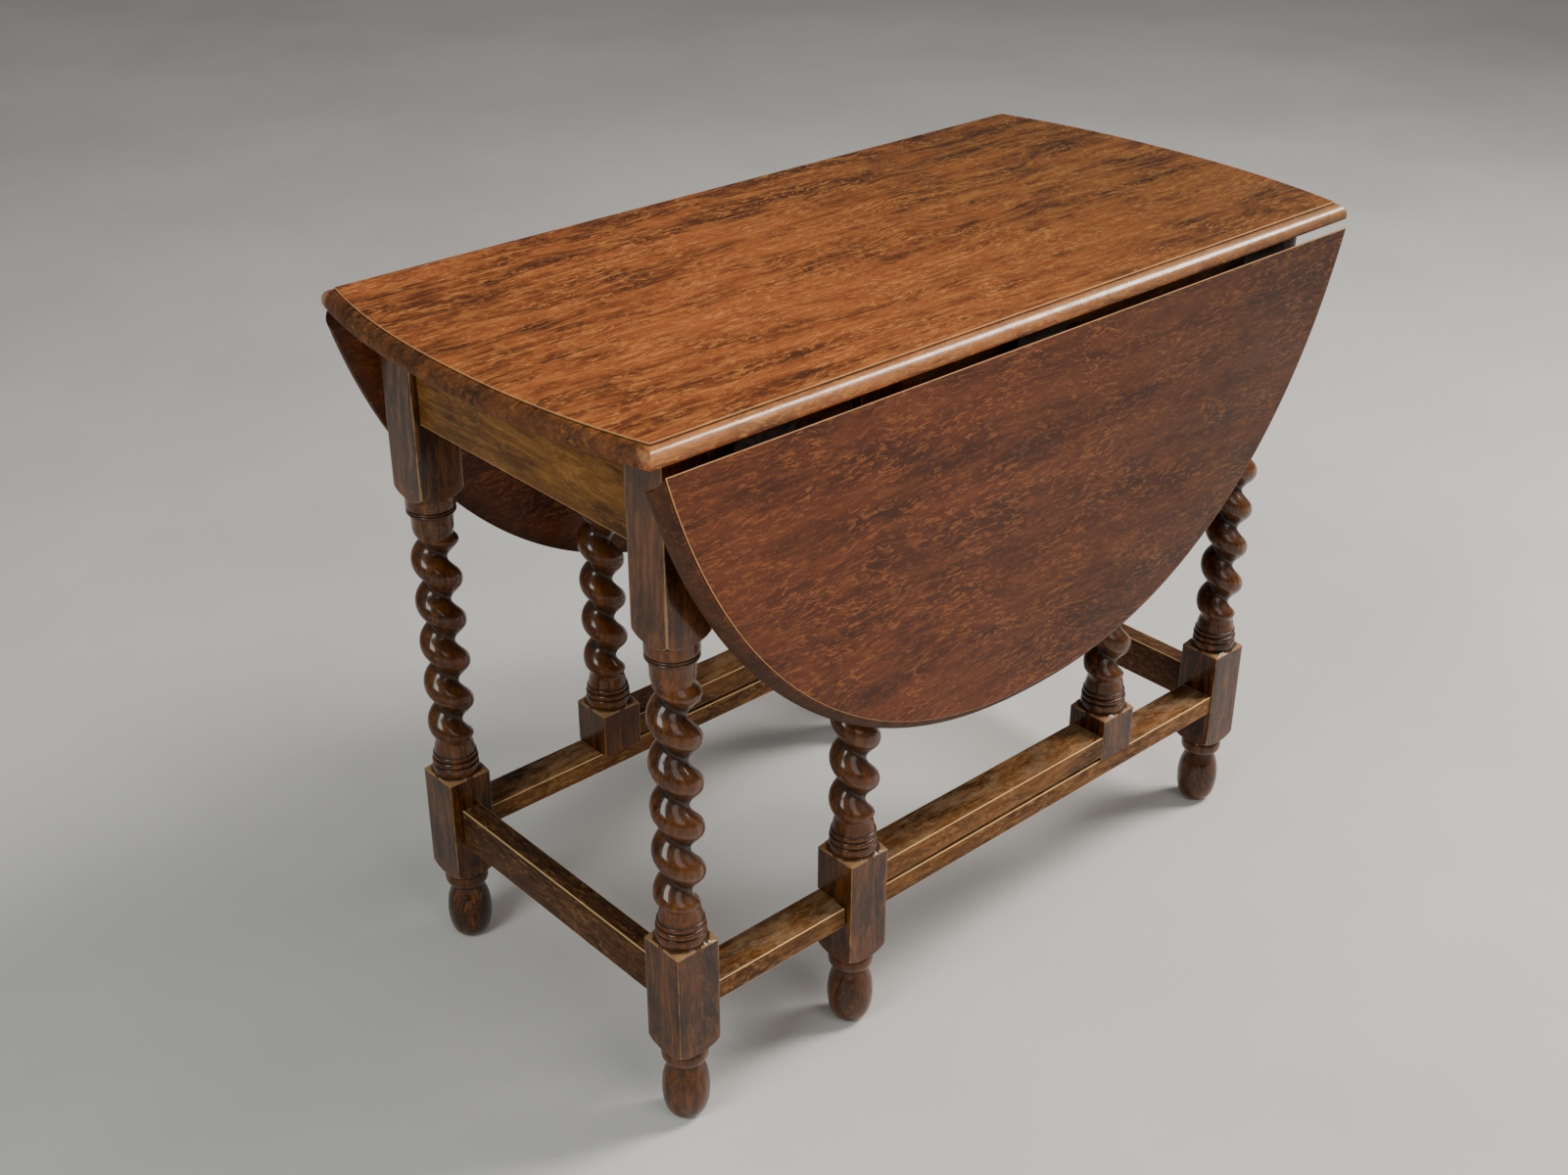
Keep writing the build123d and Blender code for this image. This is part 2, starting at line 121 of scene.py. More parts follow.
# oak seen on any face: bands, streaks, pores and ray flecks, grain along X of Place, and painted shade darkening
# towards +X
def makeOakFigureAndShade():
    ins = [("Place", "NodeSocketVector", None), ("Dark", "NodeSocketColor", None),
           ("Mid", "NodeSocketColor", None), ("Light", "NodeSocketColor", None),
           ("Fleck", "NodeSocketColor", None), ("Fleck Amount", "NodeSocketFloat", 0.5),
           ("Streak Amount", "NodeSocketFloat", 0.5), ("Tone", "NodeSocketFloat", 0.0),
           ("Fade", "NodeSocketFloat", 0.0)]
    outs = [("Colour", "NodeSocketColor"), ("Relief", "NodeSocketFloat")]
    tree, given, result = newGroup("oakFigure", "ShaderNodeTree", ins, outs)
    place = given["Place"]
    bend = noise(tree, stretch(tree, place, 5.0, 9.0), 2.0)
    drift = addNode(tree, "ShaderNodeCombineXYZ", {1: calc(tree, "MULTIPLY", bend, 0.05),
                                                   2: calc(tree, "MULTIPLY", bend, 0.03)}).outputs[0]
    wavy = addNode(tree, "ShaderNodeVectorMath", {0: place, 1: drift}, operation="ADD").outputs[0]
    bands = noise(tree, stretch(tree, wavy, 3.2, 26.0, 3.0), 4.0, 0.65)
    cloud = noise(tree, stretch(tree, place, 16.0, 30.0, 7.0), 4.0, 0.65)
    bands = calc(tree, "MULTIPLY_ADD", cloud, 0.45, calc(tree, "MULTIPLY", bands, 0.6))
    bands = calc(tree, "ADD", bands, given["Tone"])
    streaks = noise(tree, stretch(tree, wavy, 14.0, 150.0, 1.0), 4.0, 0.65)
    pores = noise(tree, stretch(tree, wavy, 70.0, 1100.0, 5.0), 2.0, 0.6)
    flecks = noise(tree, stretch(tree, wavy, 85.0, 300.0, 2.0), 3.0, 0.65, 0.9)
    patches = noise(tree, stretch(tree, place, 16.0, 26.0, 9.0), 2.0)
    colour = mixColour(tree, ease(tree, bands, 0.40, 0.62), given["Dark"], given["Mid"])
    streakMask = calc(tree, "MULTIPLY", ease(tree, streaks, 0.46, 0.70), given["Streak Amount"])
    colour = mixColour(tree, streakMask, colour, given["Light"])
    fleckMask = calc(tree, "MULTIPLY", ease(tree, flecks, 0.50, 0.62),
                     ease(tree, patches, 0.36, 0.60, 0.35, 1.0))
    colour = mixColour(tree, calc(tree, "MULTIPLY", fleckMask, given["Fleck Amount"]), colour, given["Fleck"])
    poreMask = ease(tree, pores, 0.54, 0.72)
    darkStreak = ease(tree, streaks, 0.30, 0.44, 0.42, 0.0)
    darkMask = calc(tree, "MAXIMUM", calc(tree, "MULTIPLY", poreMask, 0.55), darkStreak)
    colour = mixColour(tree, darkMask, colour, given["Dark"])
    # painted shade: the colour darkens towards +X, the far end of the table
    away = ease(tree, addNode(tree, "ShaderNodeSeparateXYZ", {0: place}).outputs[0], -0.30, 0.45)
    shade = calc(tree, "SUBTRACT", 1.0, calc(tree, "MULTIPLY", away, given["Fade"]))
    softShade = calc(tree, "POWER", shade, 0.75)
    shadeColour = addNode(tree, "ShaderNodeCombineColor", {0: shade, 1: softShade, 2: softShade}).outputs[0]
    colour = addNode(tree, "ShaderNodeMix", {0: 1.0, 6: colour, 7: shadeColour},
                     data_type="RGBA", blend_type="MULTIPLY").outputs[2]
    relief = calc(tree, "MULTIPLY_ADD", poreMask, -0.6, calc(tree, "MULTIPLY", fleckMask, 0.3))
    tree.links.new(colour, result["Colour"])
    tree.links.new(calc(tree, "ADD", relief, calc(tree, "MULTIPLY", streaks, 0.35)), result["Relief"])
    return tree


# wear on arrises, darkening in hollows and on the end mouldings that is partly grime and partly painted shade, dust on
# faces that look up, and a painted highlight on the rubbed moulding
def makeHandlingAndPaintedLight():
    ins = [("Place", "NodeSocketVector", None), ("Colour", "NodeSocketColor", None),
           ("Wear Colour", "NodeSocketColor", None), ("Wear Amount", "NodeSocketFloat", 1.0),
           ("Grime Colour", "NodeSocketColor", None), ("Grime Amount", "NodeSocketFloat", 1.0),
           ("Dust Colour", "NodeSocketColor", None), ("Dust Amount", "NodeSocketFloat", 0.0),
           ("Base Roughness", "NodeSocketFloat", 0.4)]
    outs = [("Colour", "NodeSocketColor"), ("Roughness", "NodeSocketFloat"), ("Gloss", "NodeSocketFloat")]
    tree, given, result = newGroup("handling", "ShaderNodeTree", ins, outs)
    polish = addNode(tree, "ShaderNodeAttribute", attribute_name="polish").outputs["Fac"]
    broken = noise(tree, stretch(tree, given["Place"], 55.0, 90.0, 4.0), 4.0, 0.65)
    wear = addNode(tree, "ShaderNodeAttribute", attribute_name="wear").outputs["Fac"]
    grime = addNode(tree, "ShaderNodeAttribute", attribute_name="grime").outputs["Fac"]
    raggedWear = ease(tree, calc(tree, "MULTIPLY_ADD", broken, 0.9, wear), 0.85, 1.25)
    wearMask = calc(tree, "MULTIPLY", raggedWear, given["Wear Amount"], clamp=True)
    wearMask = calc(tree, "MULTIPLY", wearMask, ease(tree, wear, 0.02, 0.25))
    raggedGrimeAndShade = calc(tree, "MULTIPLY", grime, calc(tree, "ADD", broken, 0.35))
    grimeAndShadeMask = calc(tree, "MULTIPLY", raggedGrimeAndShade, given["Grime Amount"], clamp=True)
    facing = addNode(tree, "ShaderNodeNewGeometry").outputs["Normal"]
    up = addNode(tree, "ShaderNodeSeparateXYZ", {0: facing}).outputs[2]
    lint = noise(tree, stretch(tree, given["Place"], 30.0, 70.0, 6.0), 5.0, 0.7)
    settled = calc(tree, "MULTIPLY", ease(tree, up, 0.7, 0.98), ease(tree, lint, 0.40, 0.66))
    dust = calc(tree, "MULTIPLY", settled, given["Dust Amount"], clamp=True)
    colour = mixColour(tree, grimeAndShadeMask, given["Colour"], given["Grime Colour"])
    colour = mixColour(tree, dust, colour, given["Dust Colour"])
    colour = mixColour(tree, wearMask, colour, given["Wear Colour"])
    smear = noise(tree, stretch(tree, given["Place"], 9.0, 14.0, 8.0), 3.0)
    rough = calc(tree, "MULTIPLY_ADD", smear, 0.22, calc(tree, "SUBTRACT", given["Base Roughness"], 0.11))
    dulled = calc(tree, "MULTIPLY_ADD", dust, 0.35, calc(tree, "MULTIPLY", grimeAndShadeMask, 0.15))
    dulled = calc(tree, "MULTIPLY_ADD", wearMask, 0.18, dulled)
    rough = calc(tree, "ADD", rough, dulled, clamp=True)
    # a moulding rubbed by hands and cloths is shiny, and a painted highlight pales the colour of its upper round
    rubbedAndHighlight = calc(tree, "MULTIPLY", polish, ease(tree, broken, 0.30, 0.62, 0.55, 1.0))
    colour = mixColour(tree, calc(tree, "MULTIPLY", rubbedAndHighlight, 0.30), colour, given["Wear Colour"])
    smoother = calc(tree, "SUBTRACT", 1.0, calc(tree, "MULTIPLY", rubbedAndHighlight, 0.45))
    rough = calc(tree, "MULTIPLY", rough, smoother, clamp=True)
    tree.links.new(colour, result["Colour"])
    tree.links.new(rough, result["Roughness"])
    tree.links.new(rubbedAndHighlight, result["Gloss"])
    return tree


oakFigure = makeOakFigureAndShade()
handling = makeHandlingAndPaintedLight()


# oak with its own colours and grain direction; finish holds what a user would change
def oakMaterial(name, finish):
    material = bpy.data.materials.new(name)
    material.use_nodes = True
    tree = material.node_tree
    shader = tree.nodes["Principled BSDF"]
    place = addNode(tree, "ShaderNodeTexCoord").outputs["Object"]
    turns = {"x": (0, 0, 0), "y": (0, 0, math.pi / 2), "z": (0, math.pi / 2, 0), "hung": (math.pi / 2, 0, 0)}
    turned = addNode(tree, "ShaderNodeMapping", {0: place, 2: turns[finish["grain"]]}).outputs[0]
    tone = addNode(tree, "ShaderNodeAttribute", attribute_name="tone").outputs["Fac"]
    wood = addNode(tree, "ShaderNodeGroup", node_tree=oakFigure)
    tree.links.new(turned, wood.inputs["Place"])
    tree.links.new(tone, wood.inputs["Tone"])
    for label in ("Dark", "Mid", "Light", "Fleck"):
        wood.inputs[label].default_value = (*finish[label.lower()], 1.0)
    wood.inputs["Fleck Amount"].default_value = finish["fleckAmount"]
    wood.inputs["Streak Amount"].default_value = finish["streakAmount"]
    wood.inputs["Fade"].default_value = finish["fade"]
    used = addNode(tree, "ShaderNodeGroup", node_tree=handling)
    tree.links.new(turned, used.inputs["Place"])
    tree.links.new(wood.outputs["Colour"], used.inputs["Colour"])
    used.inputs["Wear Colour"].default_value = (*finish["wear"], 1.0)
    used.inputs["Wear Amount"].default_value = finish["wearAmount"]
    used.inputs["Grime Colour"].default_value = (*finish["grime"], 1.0)
    used.inputs["Grime Amount"].default_value = finish["grimeAmount"]
    used.inputs["Dust Colour"].default_value = (*finish["dust"], 1.0)
    used.inputs["Dust Amount"].default_value = finish["dustAmount"]
    used.inputs["Base Roughness"].default_value = finish["roughness"]
    bump = addNode(tree, "ShaderNodeBump", {"Strength": finish["relief"], "Distance": 0.0006})
    tree.links.new(wood.outputs["Relief"], bump.inputs["Height"])
    tree.links.new(used.outputs["Colour"], shader.inputs["Base Color"])
    tree.links.new(used.outputs["Roughness"], shader.inputs["Roughness"])
    tree.links.new(bump.outputs[0], shader.inputs["Normal"])
    shader.inputs["Specular IOR Level"].default_value = finish["specular"]
    if finish["coat"]:
        shader.inputs["Coat Weight"].default_value = finish["coat"]
    else:
        tree.links.new(used.outputs["Gloss"], shader.inputs["Coat Weight"])
    shader.inputs["Coat Roughness"].default_value = finish["coatRoughness"]
    return material


# in these finishes the far-end darkening is painted shade, the wear colour also paints the highlight on the rubbed
# moulding, and the dark mix colour also paints shade on the end mouldings and in the twist hollows
topFinish = {
    "grain": "x", "dark": (0.070, 0.016, 0.005), "mid": (0.315, 0.082, 0.020), "light": (0.500, 0.165, 0.040),
    "fleck": (0.66, 0.250, 0.065), "fleckAmount": 0.62, "streakAmount": 0.70, "fade": 0.52,
    "wear": (0.66, 0.34, 0.14), "wearAmount": 0.60, "grime": (0.026, 0.016, 0.007), "grimeAmount": 1.0,
    "dust": (0.35, 0.28, 0.2), "dustAmount": 0.0, "roughness": 0.50, "relief": 0.30,
    "coat": 0.0, "coatRoughness": 0.14, "specular": 0.25,
}
leafFinish = dict(topFinish, grain="hung", dark=(0.060, 0.013, 0.004), mid=(0.145, 0.034, 0.010),
                  light=(0.230, 0.066, 0.018), fleck=(0.46, 0.155, 0.042), fleckAmount=0.50,
                  streakAmount=0.40, roughness=0.46, fade=0.50, wearAmount=0.85)
turnedFinish = {
    "grain": "z", "dark": (0.022, 0.007, 0.002), "mid": (0.095, 0.029, 0.006), "light": (0.240, 0.078, 0.014),
    "fleck": (0.25, 0.090, 0.020), "fleckAmount": 0.30, "streakAmount": 0.55, "fade": 0.0,
    "wear": (0.36, 0.20, 0.09), "wearAmount": 0.8, "grime": (0.010, 0.006, 0.004), "grimeAmount": 0.9,
    "dust": (0.30, 0.24, 0.17), "dustAmount": 0.10, "roughness": 0.33, "relief": 0.22,
    "coat": 0.50, "coatRoughness": 0.12, "specular": 0.15,
}
railFinish = dict(turnedFinish, grain="x", dark=(0.040, 0.014, 0.004), mid=(0.170, 0.066, 0.018),
                  light=(0.330, 0.150, 0.045), fleck=(0.42, 0.21, 0.075), fleckAmount=0.55, wear=(0.75, 0.48, 0.22), wearAmount=1.0,
                  dust=(0.42, 0.30, 0.18), dustAmount=0.35, roughness=0.52, coat=0.0, coatRoughness=0.3)
endRailFinish = dict(railFinish, grain="y", mid=(0.070, 0.027, 0.011), dark=(0.026, 0.010, 0.005),
                     light=(0.16, 0.068, 0.026), fleckAmount=0.35, wearAmount=0.7, dustAmount=0.05)
apronFinish = dict(railFinish, grain="y", dark=(0.060, 0.022, 0.005), mid=(0.175, 0.070, 0.014),
                   light=(0.32, 0.145, 0.034), fleckAmount=0.3, dustAmount=0.0)
hiddenFinish = dict(railFinish, dark=(0.05, 0.028, 0.014), mid=(0.14, 0.085, 0.045), light=(0.24, 0.15, 0.08),
                    roughness=0.7)

topOak = oakMaterial("top oak, waxed", topFinish)
leafOak = oakMaterial("leaf oak, waxed", leafFinish)
turnedOak = oakMaterial("turned oak, polished", turnedFinish)
railOak = oakMaterial("rail oak", railFinish)
endRailOak = oakMaterial("end rail oak", endRailFinish)
endApronOak = oakMaterial("end apron oak", apronFinish)
sideApronOak = oakMaterial("side apron oak", dict(apronFinish, grain="x"))
hiddenOak = oakMaterial("unpolished oak", hiddenFinish)


def metalMaterial(name, finish):
    material = bpy.data.materials.new(name)
    material.use_nodes = True
    tree = material.node_tree
    shader = tree.nodes["Principled BSDF"]
    place = addNode(tree, "ShaderNodeTexCoord").outputs["Object"]
    spots = noise(tree, stretch(tree, place, 180.0, 180.0), 4.0, 0.7)
    rust = ease(tree, spots, 0.52, 0.68)
    tree.links.new(mixColour(tree, rust, (*finish["metal"], 1.0), (*finish["rust"], 1.0)), shader.inputs["Base Color"])
    tree.links.new(ease(tree, spots, 0.3, 0.7, finish["smooth"], finish["rough"]), shader.inputs["Roughness"])
    tree.links.new(ease(tree, spots, 0.5, 0.7, 1.0, 0.25), shader.inputs["Metallic"])
    pitting = addNode(tree, "ShaderNodeBump", {"Strength": 0.3, "Distance": 0.0003, "Height": spots})
    tree.links.new(pitting.outputs[0], shader.inputs["Normal"])
    return material


ironFinish = {"metal": (0.10, 0.095, 0.09), "rust": (0.07, 0.032, 0.016), "smooth": 0.38, "rough": 0.7}
steelFinish = {"metal": (0.22, 0.21, 0.20), "rust": (0.09, 0.05, 0.03), "smooth": 0.30, "rough": 0.6}
hingeIron = metalMaterial("hinge iron", ironFinish)
screwSteel = metalMaterial("screw steel", steelFinish)
print("materials made")


# pieces
# finish a mesh as a piece that rides on a body and stands for CAD nodes
def finishPiece(name, mesh, material, body, stands, sharp=30):
    piece = bpy.data.objects.new(name, mesh)
    bpy.context.scene.collection.objects.link(piece)
    if material is not None:
        mesh.materials.clear()
        mesh.materials.append(material)
    mesh.polygons.foreach_set("use_smooth", [True] * len(mesh.polygons))
    mesh.set_sharp_from_angle(angle=math.radians(sharp))
    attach(piece, body)
    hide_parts(*stands)
    return piece


def paint(mesh, name, values):
    layer = mesh.attributes.get(name) or mesh.attributes.new(name, "FLOAT", "POINT")
    layer.data.foreach_set("value", np.asarray(values, np.float32))


def toMesh(bm, name):
    bmesh.ops.recalc_face_normals(bm, faces=bm.faces)
    mesh = bpy.data.meshes.new(name)
    bm.to_mesh(mesh)
    bm.free()
    return mesh


def bodyOf(node):
    return next(body for body, members in frame["record"]["behaviour"]["bodies"].items() if node in members)


# barley twist: pulls the round blank between two heights into one left-handed strand
def makeBarleyTwist():
    ins = [("Geometry", "NodeSocketGeometry", None), ("Axis", "NodeSocketVector", None),
           ("Bottom", "NodeSocketFloat", 0.249), ("Top", "NodeSocketFloat", 0.470),
           ("Pitch", "NodeSocketFloat", 0.0467), ("Crest Radius", "NodeSocketFloat", 0.0245),
           ("Hollow Radius", "NodeSocketFloat", 0.011), ("Crest Fullness", "NodeSocketFloat", 0.0009),
           ("Start Angle", "NodeSocketFloat", 0.0), ("Run Out", "NodeSocketFloat", 0.012),
           ("Material", "NodeSocketMaterial", None)]
    tree, given, result = newGroup("barleyTwist", "GeometryNodeTree", ins, [("Geometry", "NodeSocketGeometry")])
    spot = addNode(tree, "GeometryNodeInputPosition").outputs[0]
    offset = addNode(tree, "ShaderNodeVectorMath", {0: spot, 1: given["Axis"]}, operation="SUBTRACT").outputs[0]
    flat = addNode(tree, "ShaderNodeVectorMath", {0: offset, 1: (1.0, 1.0, 0.0)}, operation="MULTIPLY").outputs[0]
    parts = addNode(tree, "ShaderNodeSeparateXYZ", {0: offset}).outputs
    bearing = calc(tree, "ARCTAN2", parts[1], parts[0])
    climb = calc(tree, "DIVIDE", calc(tree, "SUBTRACT", parts[2], given["Bottom"]), given["Pitch"])
    phase = calc(tree, "MULTIPLY_ADD", climb, 2 * math.pi, calc(tree, "SUBTRACT", bearing, given["Start Angle"]))
    swing = calc(tree, "MULTIPLY", calc(tree, "SUBTRACT", given["Crest Radius"], given["Hollow Radius"]), 0.5)
    middle = calc(tree, "ADD", calc(tree, "ADD", given["Hollow Radius"], swing), given["Crest Fullness"])
    strand = calc(tree, "MULTIPLY_ADD", calc(tree, "COSINE", phase), swing, middle)
    twice = calc(tree, "COSINE", calc(tree, "MULTIPLY", phase, 2.0))
    strand = calc(tree, "SUBTRACT", strand, calc(tree, "MULTIPLY", twice, given["Crest Fullness"]))
    blank = addNode(tree, "ShaderNodeVectorMath", {0: flat}, operation="LENGTH").outputs["Value"]
    lowEnd = ease(tree, parts[2], given["Bottom"], calc(tree, "ADD", given["Bottom"], given["Run Out"]))
    highEnd = ease(tree, parts[2], calc(tree, "SUBTRACT", given["Top"], given["Run Out"]), given["Top"], 1.0, 0.0)
    inside = calc(tree, "MULTIPLY", lowEnd, highEnd)
    radius = calc(tree, "MULTIPLY_ADD", calc(tree, "SUBTRACT", strand, blank), inside, blank)
    outward = addNode(tree, "ShaderNodeVectorMath", {0: flat}, operation="NORMALIZE").outputs[0]
    push = calc(tree, "SUBTRACT", radius, blank)
    moved = addNode(tree, "ShaderNodeVectorMath", {0: outward, "Scale": push}, operation="SCALE").outputs[0]
    shaped = addNode(tree, "GeometryNodeSetPosition", {"Geometry": given["Geometry"], "Offset": moved}).outputs[0]
    # painted shade in the hollows of the strand: the deeper the hollow, the darker
    hollow = calc(tree, "SUBTRACT", given["Crest Radius"], radius)
    hollow = calc(tree, "DIVIDE", hollow, calc(tree, "MULTIPLY", swing, 2.0))
    was = addNode(tree, "GeometryNodeInputNamedAttribute", {"Name": "grime"}, data_type="FLOAT").outputs[0]
    deep = calc(tree, "POWER", calc(tree, "MAXIMUM", hollow, 0.0), 2.0)
    grime = calc(tree, "ADD", was, calc(tree, "MULTIPLY", deep, inside))
    shaped = addNode(tree, "GeometryNodeStoreNamedAttribute", {"Geometry": shaped, "Name": "grime", "Value": grime},
                     data_type="FLOAT", domain="POINT").outputs[0]
    shaped = addNode(tree, "GeometryNodeRealizeInstances", {0: shaped}).outputs[0]
    shaped = addNode(tree, "GeometryNodeSetMaterial", {0: shaped, "Material": given["Material"]}).outputs[0]
    tree.links.new(shaped, result[0])
    return tree


barleyTwist = makeBarleyTwist()


# run a mesh through a geometry tree and return the plain result
def throughNodes(name, mesh, tree, values):
    carrier = bpy.data.objects.new(name + " blank", mesh)
    bpy.context.scene.collection.objects.link(carrier)
    modifier = carrier.modifiers.new("shape", "NODES")
    modifier.node_group = tree
    for item in tree.interface.items_tree:
        if item.in_out == "INPUT" and item.name in values:
            modifier[item.identifier] = values[item.name]
    bpy.context.view_layer.update()
    done = bpy.data.meshes.new_from_object(carrier.evaluated_get(bpy.context.evaluated_depsgraph_get()))
    bpy.data.objects.remove(carrier)
    return done


# heights and radii of the turning, in millimetres
turning = {
    "stock": 49.0, "arris": 36.0,               # arris: higher is crisper
    "foot": [(0.6, 11.2), (3, 14.8), (8, 18.6), (16, 21.4), (26, 22.9),
             (35, 23.2), (44, 22.5), (52, 21.0), (60, 18.2), (65.6, 16.4)],
    "lowBlock": (98.6, 209.6), "highBlock": 540.5, "twist": (249.0, 487.0), "pitch": 46.7,
    "crest": 24.5, "hollow": 11.0, "fullness": 0.9, "runOut": 13.0, "sides": 24,
    "grooves": (66.0, 86.6, 213.5, 223.0, 230.1, 236.0, 509.8, 512.6, 515.4),
}


# smooth curve through (height, radius) points
def curved(points, step=2.2):
    z, r = np.array(points, float).T
    slope = np.gradient(r, z)
    out = []
    for k in range(len(z) - 1):
        gap = z[k + 1] - z[k]
        for t in np.arange(0, 1, min(1.0, step / gap)):
            out.append((z[k] + t * gap, (2 * t**3 - 3 * t**2 + 1) * r[k] + (t**3 - 2 * t**2 + t) * gap * slope[k]
                        + (3 * t**2 - 2 * t**3) * r[k + 1] + (t**3 - t**2) * gap * slope[k + 1]))
    return out + [(z[-1], r[-1])]


def bead(low, high, radius, rise, count=9):
    t = np.linspace(0, math.pi, count)
    return [(low + (high - low) * (1 - math.cos(a)) / 2, radius + rise * math.sin(a)) for a in t]


# rounded run from a turned radius out to the corner of the square
def pommel(start, end, radius, corner, count=12):
    out = []
    for k in range(count + 1):
        a = k / count
        rise = 0.45 * (1 - math.cos(a * math.pi / 2)) + 0.55 * a
        out.append((start + (end - start) * rise, radius + (corner - radius) * math.sin(a * math.pi / 2)))
    return out


# (height, radius) of the turning from bottom to top
def legOutline(bottom, top):
    low, high = turning["lowBlock"]
    corner = turning["stock"] / 2 * math.sqrt(2) + 0.3
    if bottom < low:
        rings = [(bottom, 10.2)] + [(max(z, bottom + 0.3), r) for z, r in curved(turning["foot"])]
        rings += [(66.4, 16.3), (68.4, 18.0)] + bead(69, 86, 18.6, 4.2, 13) + [(86.5, 21.8), (87, 22.6)]
        rings += pommel(87.2, low, 22.8, corner) + [(low + 3, 40)]
    else:
        rings = [(bottom, 40)]
    rings += [(z, 40) for z in np.arange(rings[-1][0] + 8, high - 2.4, 9)]
    rings += [(high - 1.6, 40), (high - 0.7, 40), (high - 0.1, 34.4)]
    rings += [(high + 0.5, 31.6), (high + 1.7, 28.4), (213.3, 23.0)] + bead(213.6, 222.7, 22.9, 1.1)
    rings += [(222.95, 21.9)] + bead(223.2, 229.8, 21.6, 2.2) + [(230.05, 21.2)] + bead(230.3, 235.6, 21.2, 1.4, 7)
    rings += [(236.0, 21.2), (239.0, 20.6), (243.0, 19.9), (246.0, 19.2)]
    rings += [(z, 18.5) for z in np.arange(turning["twist"][0], turning["twist"][1] - 1, 1.6)]
    rings += curved([(487.0, 19.2), (492, 20.2), (498, 20.3), (504, 20.9), (509.5, 22.3)])
    rings += bead(509.9, 512.5, 22.9, 1.4, 6) + bead(512.7, 515.3, 22.9, 1.4, 6)
    rings += [(515.5, 22.9), (516.2, 24.1), (517.5, 24.4), (522, 24.4), (527.8, 24.4)]
    rings += pommel(528.2, turning["highBlock"], 24.5, corner) + [(z, 40) for z in np.arange(543, top - 1.5, 12.0)]
    return rings + [(top - 1.0, 40), (top, 40)]


# leg or post on its axis; cuts are (low, high) heights where the inner half is halved away
def turnedLeg(name, node, centre, startAngle, cuts=(), turnedRound=False):
    low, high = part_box(node)
    rings = legOutline(low.z / mm, high.z / mm)
    lapAt = -0.3      # lap plane, from the axis
    for cutLow, cutHigh in cuts:
        rings += [(cutLow - 0.02, None), (cutLow + 0.02, None)]
        if cutHigh < rings[-3][0]:
            rings += [(cutHigh - 0.02, None), (cutHigh + 0.02, None)]
    known = sorted((z, r) for z, r in rings if r is not None)
    heights = np.array(sorted({round(z, 4) for z, r in rings}))
    outline = np.interp(heights, [z for z, r in known], [r for z, r in known])
    u = np.linspace(-1, 1, turning["sides"] + 1)[:-1]
    quarter = np.radians(45 * (0.6 * np.sin(u * math.pi / 2) + 0.4 * u))
    bearing = np.concatenate([quarter + k * math.pi / 2 for k in range(4)])
    c, s = np.abs(np.cos(bearing)), np.abs(np.sin(bearing))
    square = turning["stock"] / 2 / (c ** turning["arris"] + s ** turning["arris"]) ** (1 / turning["arris"])
    radius = np.minimum(outline[:, None], square[None, :])
    x, y = radius * np.cos(bearing), radius * np.sin(bearing)
    for cutLow, cutHigh in cuts:
        rows = (heights > cutLow) & (heights < cutHigh)
        y[rows] = np.minimum(y[rows], lapAt)
    z = np.repeat(heights[:, None], len(bearing), 1)
    # wear on the arrises of the blocks, more towards the bottom of the upper block
    offCorner = np.abs(np.abs(np.degrees((bearing + math.pi / 4) % (math.pi / 2)) - 45) - 45)
    inBlock = outline > square.max()
    downUpper = np.clip((600 - heights) / 60, 0, 1) * (heights > 500)
    wear = np.exp(-(offCorner[None, :] / (1.9 + 1.6 * downUpper[:, None])) ** 2)
    wear = wear * inBlock[:, None] * (0.75 + 0.25 * downUpper[:, None])
    rim = (outline > 25.2) & (outline < 34.6)
    wear = np.maximum(wear, 0.8 * rim[:, None] * (np.abs(outline[:, None] - square[None, :]) < 0.8))
    # bare end grain on top of the lower block
    shoulder = (heights > turning["lowBlock"][1] - 0.3) & (heights < 212.6)
    wear = np.maximum(wear, 0.9 * shoulder[:, None] * (radius > 24.7))
    # darker in the grooves between the beads
    grime = np.zeros(len(heights))
    for groove in turning["grooves"]:
        grime = np.maximum(grime, np.exp(-((heights - groove) / 1.1) ** 2))
    count = len(bearing)
    verts = np.stack([x, y, z], -1).reshape(-1, 3) * mm
    faces = []
    for k in range(len(heights) - 1):
        for j in range(count):
            n = (j + 1) % count
            faces.append((k * count + j, k * count + n, (k + 1) * count + n, (k + 1) * count + j))
    faces.append(tuple(range(count - 1, -1, -1)))
    faces.append(tuple((len(heights) - 1) * count + j for j in range(count)))
    mesh = bpy.data.meshes.new(name)
    mesh.from_pydata(verts.tolist(), [], faces)
    if turnedRound:
        mesh.transform(Matrix.Rotation(math.pi, 4, "Z"))
        startAngle += 180
    mesh.transform(Matrix.Translation((centre[0], centre[1], 0)))
    paint(mesh, "wear", wear.reshape(-1))
    paint(mesh, "grime", np.repeat(grime, count))
    darker = np.where((outline > 36) | (heights < 69), -0.07, 0.0)      # square blocks and feet take the stain deeper
    paint(mesh, "tone", np.repeat(darker, count) + 0.03 * math.sin(centre[0] * 90 + centre[1] * 40))
    mesh = throughNodes(name, mesh, barleyTwist, {
        "Axis": (centre[0], centre[1], 0.0), "Start Angle": math.radians(startAngle),
        "Bottom": (turning["twist"][0] - 1) * mm, "Top": (turning["twist"][1] + 1) * mm,
        "Pitch": turning["pitch"] * mm, "Run Out": turning["runOut"] * mm,
        "Crest Radius": turning["crest"] * mm, "Hollow Radius": turning["hollow"] * mm,
        "Crest Fullness": turning["fullness"] * mm, "Material": turnedOak,
    })
    return finishPiece(name, mesh, None, bodyOf(node), [node], 40)


def middleOf(node):
    low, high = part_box(node)
    return (low.x + high.x) / 2, (low.y + high.y) / 2


